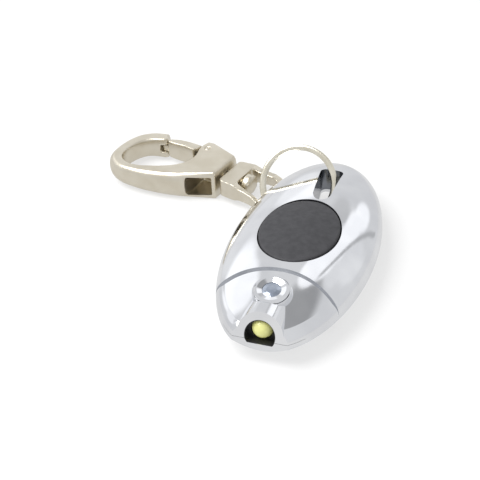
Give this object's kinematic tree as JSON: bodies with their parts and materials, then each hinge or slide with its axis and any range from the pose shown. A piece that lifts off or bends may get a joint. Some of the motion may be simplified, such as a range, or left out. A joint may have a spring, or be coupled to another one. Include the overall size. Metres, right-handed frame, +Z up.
{
  "type": "keychain flashlight",
  "caption": "Oval chromed pocket light with a nose lamp, an oval press button and a jewel, hung by a split ring and a swivel from a snap hook.",
  "frame": {"origin": "middle of the flat rest face on the underside, below the widest point of the body", "axes": "+Z up, -Y towards the lamp, +Y towards the tail and its split ring, +X to the right seen from above with the tail up"},
  "size_m": [0.0808, 0.0758, 0.0173],
  "materials": {
    "shell_chrome": "bright polished chrome plate",
    "button_grey": "matt dark grey moulded plastic",
    "jewel_metal": "polished chrome ring",
    "jewel_glass": "dark blue tinted clear plastic",
    "lens_clear": "water-clear moulded epoxy",
    "phosphor": "pale yellow phosphor",
    "lead_steel": "tinned steel",
    "contact_brass": "sheet brass",
    "cell_steel": "nickel-plated steel can",
    "carrier_plastic": "black moulded plastic",
    "spring_steel": "spring steel wire",
    "screw_steel": "zinc-plated steel",
    "ring_nickel": "nickel-plated steel wire",
    "hook_nickel": "satin nickel plate on die-cast zinc"
  },
  "bodies": {
    "light": {"top_shell": "shell_chrome", "bottom_shell": "shell_chrome", "case_screws": "screw_steel", "button_spring": "spring_steel", "coin_cell_lower": "cell_steel", "coin_cell_upper": "cell_steel", "battery_carrier": "carrier_plastic", "cell_clamp": "carrier_plastic", "negative_contact": "contact_brass", "switch_blade": "contact_brass", "led_lens": "lens_clear", "led_phosphor": "phosphor", "led_anode_lead": "lead_steel", "led_cathode_lead": "lead_steel", "led_holder": "carrier_plastic", "jewel_bezel": "jewel_metal", "jewel_lens": "jewel_glass"},
    "button": {"button_cap": "button_grey"},
    "ring": {"split_ring": "ring_nickel"},
    "yoke": {"swivel_yoke": "hook_nickel", "swivel_post": "hook_nickel"},
    "hook": {"hook_body": "hook_nickel", "gate_pin": "spring_steel", "gate_spring": "spring_steel"},
    "gate": {"hook_gate": "hook_nickel"}
  },
  "joints": [
    {"name": "button_press", "type": "slide", "parent": "light", "child": "button", "axis": [0, 0, -1], "range_m": [0, 0.0008], "stiffness_N_per_m": 2500, "springref_m": -0.0004, "deforming": ["button_spring"]},
    {"name": "ring_swing", "type": "hinge", "parent": "light", "child": "ring", "pos_m": [-0.00775, 0.0239, 0.0088], "axis": [1, 0, 0], "range_deg": [0, 65]},
    {"name": "yoke_swing", "type": "hinge", "parent": "ring", "child": "yoke", "pos_m": [-0.01441, 0.01991, 0.0035], "axis": [-0.706, 0.4262, 0.5656], "range_deg": [0, 8]},
    {"name": "hook_swivel", "type": "hinge", "parent": "yoke", "child": "hook", "pos_m": [-0.0292, 0.0288, 0.0042], "axis": [0.9659, -0.2588, 0], "continuous": true},
    {"name": "gate_open", "type": "hinge", "parent": "hook", "child": "gate", "pos_m": [-0.03673, 0.03548, 0.0042], "axis": [0, 0, 1], "range_deg": [0, 28], "stiffness_Nm_per_rad": 0.02, "springref_deg": -20.05}
  ]
}
